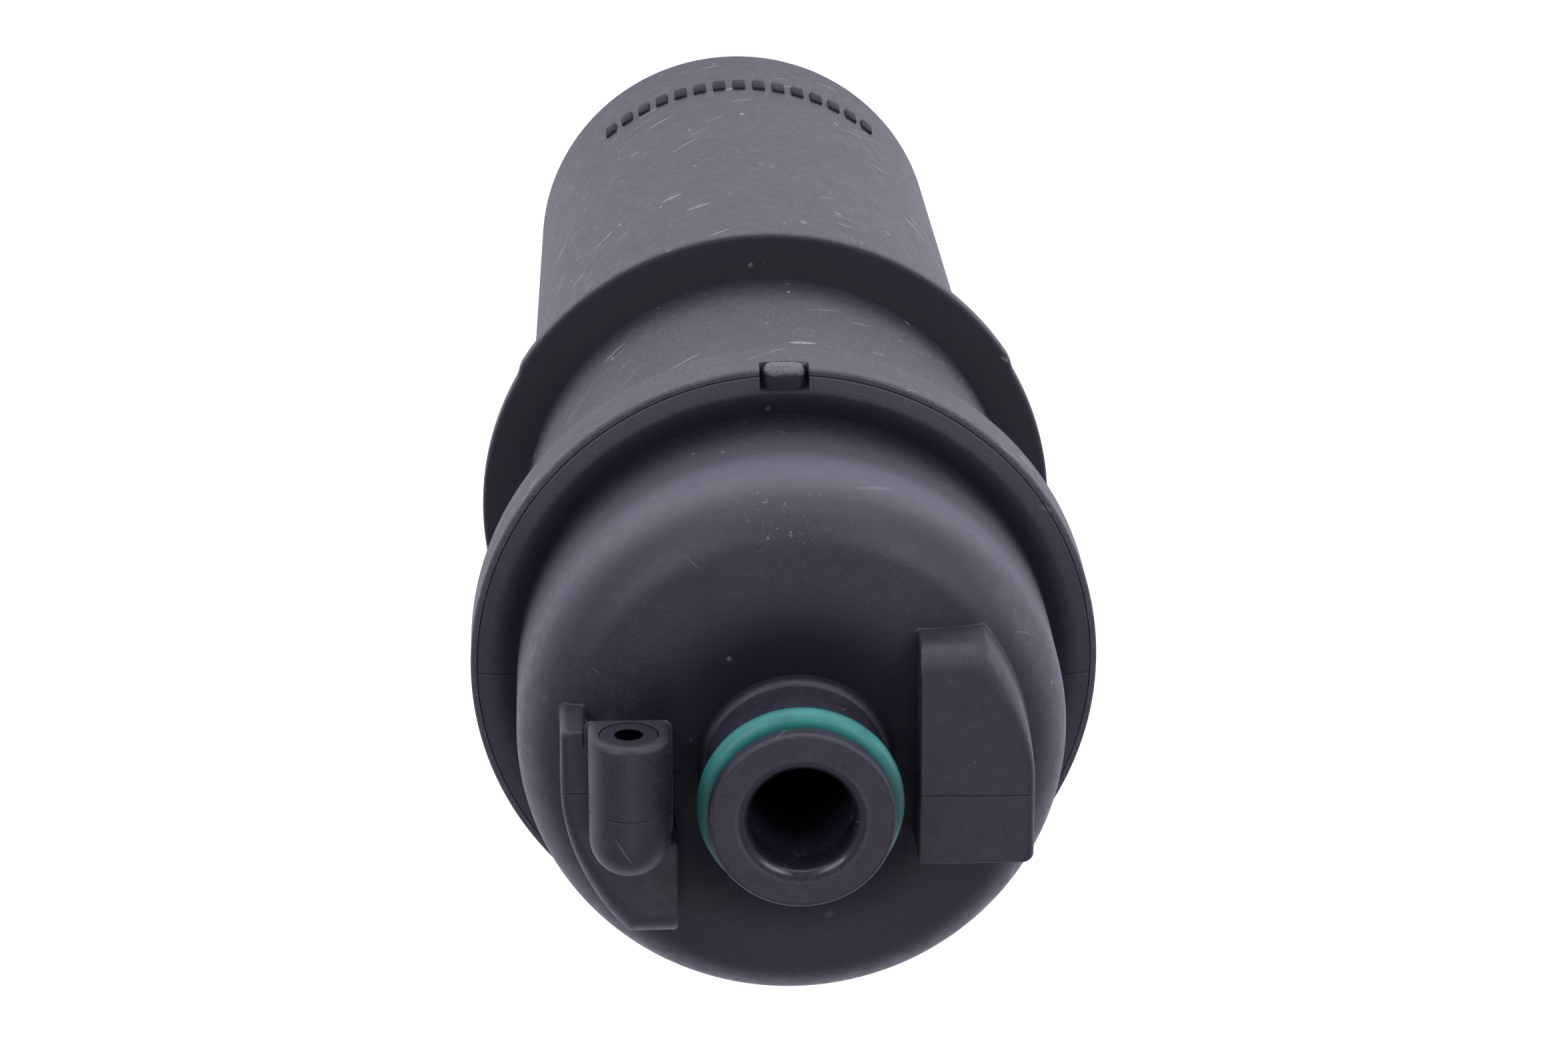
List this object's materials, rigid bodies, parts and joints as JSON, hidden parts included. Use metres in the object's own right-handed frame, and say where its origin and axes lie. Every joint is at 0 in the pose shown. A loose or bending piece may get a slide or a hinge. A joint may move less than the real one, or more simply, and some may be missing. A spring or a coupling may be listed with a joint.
{
  "type": "oil filter",
  "caption": "Closed plastic hydraulic oil filter cartridge with a tapered canister, mid disc, domed cap with two lugs, and an O-ring sealed nozzle.",
  "frame": {"origin": "centre of the closed far end's face, on the axis", "axes": "+Z along the axis from the closed end to the nozzle, +Y towards the key tab in the rim and the open end of the boss hole, +X towards the plain lug"},
  "size_m": [0.0588, 0.0589, 0.1677],
  "materials": {
    "can_plastic": "dusty charcoal glass-filled nylon, finely scuffed",
    "cap_plastic": "charcoal glass-filled nylon, as moulded",
    "green_rubber": "smooth satin green elastomer",
    "black_rubber": "matt",
    "element_plastic": "moulded",
    "core_plastic": "natural moulded nylon",
    "filter_medium": "pleated felt-like filter medium",
    "potting": "cast resin",
    "spring_steel": "drawn wire"
  },
  "bodies": {
    "filter": {"canister": "can_plastic", "nozzle_cap": "cap_plastic", "nozzle_o_ring": "green_rubber", "cap_seal_ring": "black_rubber", "boss_insert": "cap_plastic", "top_end_disc": "element_plastic", "top_potting": "potting", "element_grommet": "black_rubber", "filter_pleats": "filter_medium", "pleat_bands": "potting", "core_tube": "core_plastic", "bottom_potting": "potting", "bottom_end_disc": "element_plastic", "bypass_body": "element_plastic", "bypass_retainer": "element_plastic", "bypass_spring": "spring_steel", "element_spring": "spring_steel", "spring_seat": "spring_steel", "drainback_membrane": "black_rubber", "membrane_retainer": "element_plastic"},
    "poppet": {"bypass_poppet": "core_plastic", "poppet_seal": "black_rubber"}
  },
  "joints": [
    {"name": "bypass_lift", "type": "slide", "parent": "filter", "child": "poppet", "axis": [0, 0, 1], "range_m": [0, 0.004], "stiffness_N_per_m": 900, "springref_m": -0.008, "deforming": ["bypass_spring"]}
  ]
}
